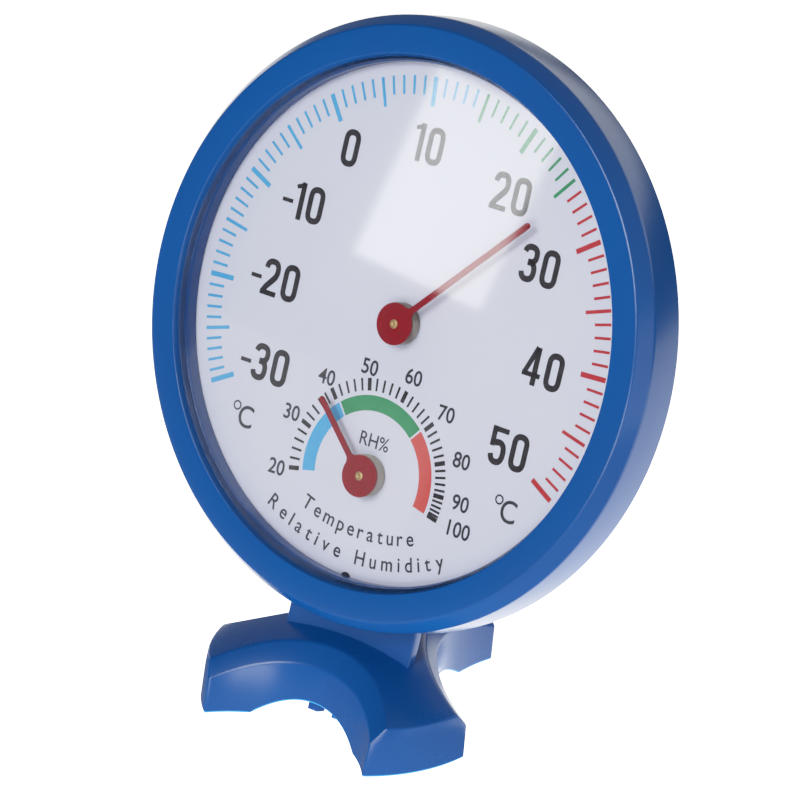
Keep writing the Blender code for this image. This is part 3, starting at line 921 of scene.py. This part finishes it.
def arcCard(name, card):
    # an upright panel round the case: degrees turn from +X towards +Y
    first, last = card["degrees"]
    low, high = card["height"]
    parts = studio["cardParts"]
    for part in range(parts):
        turns = [math.radians(first + (last - first) * (part + k) / parts) for k in (0, 1)]
        start, end = [onCircle(card["distance"], a) for a in turns]
        corners = [(*start, low), (*end, low), (*end, high), (*start, high)]
        reflectionCard(f"{name}{part}", corners, card["strength"])


# lights in metres, places on the lens in mm on the dial
studio = {"aim": (0, 0, 0.08), "white": (0.97, 0.98, 1.0), "lensHeight": 4.9, "mirrorDistance": 0.7,
          "cardParts": 6,
          "window": {"spot": (9.0, 30.9), "size": (0.0476, 0.070), "radiance": 4.0},
          "room": {"spot": (-17.0, -30.0), "size": (0.085, 0.052), "radiance": 0.33,
                   "shares": (0.62, 0.86, 1.10)}}
softLights = {"keyPanel": {"place": (0.05, -1.25, 1.0), "size": (0.9, 0.6), "radiance": 9.0},
              "fillPanel": {"place": (0.45, -1.35, 0.24), "size": (0.8, 0.4), "radiance": 5.5}}
arcCards = {
    "backCard": {"degrees": (30, 115), "distance": 0.9, "height": (0.31, 0.80), "strength": 1.9},
    "shadeCard": {"degrees": (15, 110), "distance": 0.6, "height": (0.005, 0.22), "strength": 0.02},
    "sideCard": {"degrees": (-32, 8), "distance": 0.9, "height": (-0.02, 0.42), "strength": 1.1}}
tableCard = {"half": 0.5, "near": -0.9, "far": -0.004, "height": 0.0003, "strength": 0.2}
camera = {"lens": 225.0, "sensor": 36.0, "clip": (0.05, 20.0), "place": (583.9, -730.2, 434.9),
          "right": (0.7806, 0.6251, 0.0), "up": (-0.2722, 0.3399, 0.9002),
          "back": (0.5627, -0.7027, 0.4355)}
cameraPlace = dialCentre + Vector(camera["place"]) * mm
makeFloor()
makeWorld()
window, room = studio["window"], studio["room"]
mirrorPanel("windowPanel", window["spot"], window["size"], window["radiance"])
for part, share in enumerate(room["shares"]):
    wide, high = room["size"]
    mirrorPanel(f"roomPanel{part}", room["spot"], (wide * share, high * share), room["radiance"])
for name, light in softLights.items():
    softLight(name, light["place"], studio["aim"], light["size"], light["radiance"], studio["white"])
for name, card in arcCards.items():
    arcCard(name, card)
half, near, far, height = (tableCard[key] for key in ("half", "near", "far", "height"))
reflectionCard("tableShade", [(-half, near, height), (half, near, height), (half, far, height),
                              (-half, far, height)], tableCard["strength"])

cameraData = bpy.data.cameras.new("camera")
cameraData.lens = camera["lens"]
cameraData.sensor_width = camera["sensor"]
cameraData.clip_start, cameraData.clip_end = camera["clip"]
cameraObject = bpy.data.objects.new("camera", cameraData)
scene.collection.objects.link(cameraObject)
turn = Matrix((Vector(camera["right"]).normalized(), Vector(camera["up"]).normalized(),
               Vector(camera["back"]).normalized())).transposed().to_4x4()
cameraObject.matrix_world = Matrix.Translation(cameraPlace) @ turn
scene.camera = cameraObject

# soft roll-off of the whites; the curve's own point at full white makes way for the shoulder
shoulder = ((0.60, 0.60), (0.75, 0.70), (0.92, 0.78), (1.07, 0.84), (1.50, 1.02))
scene.view_settings.view_transform = "Standard"
scene.view_settings.use_curve_mapping = True
toneCurve = scene.view_settings.curve_mapping
toneCurve.use_clip = False
dots = toneCurve.curves[3].points
for level, shown in shoulder:
    dots.new(level, shown)
dots.remove(min(dots, key=lambda dot: abs(dot.location.x - 1.0)))
toneCurve.update()
print("floor, light and camera set")
